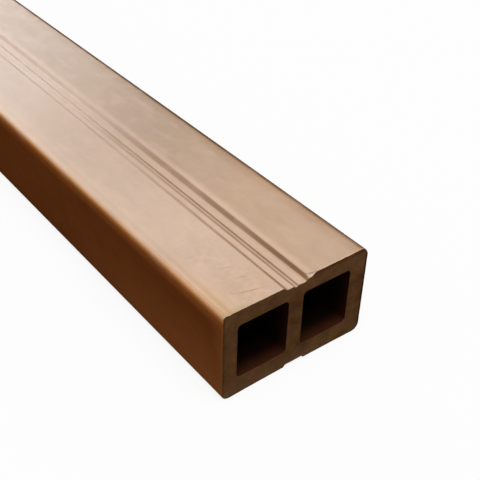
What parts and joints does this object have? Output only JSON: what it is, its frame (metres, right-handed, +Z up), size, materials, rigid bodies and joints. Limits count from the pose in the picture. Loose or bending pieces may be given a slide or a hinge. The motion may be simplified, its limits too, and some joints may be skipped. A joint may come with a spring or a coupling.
{
  "type": "composite decking joist",
  "caption": "Hollow wood-plastic joist for decking: an extruded bar with cells right through it, a grooved top trough and a groove underneath.",
  "frame": {"origin": "middle of the joist's length and width, on the plane that it lies on", "axes": "+X along the joist, +Y across its width, +Z up through the face with the trough"},
  "size_m": [2.2, 0.05, 0.03],
  "materials": {
    "wood_plastic_composite": "satin"
  },
  "bodies": {
    "root": {"joist": "wood_plastic_composite"}
  },
  "joints": []
}
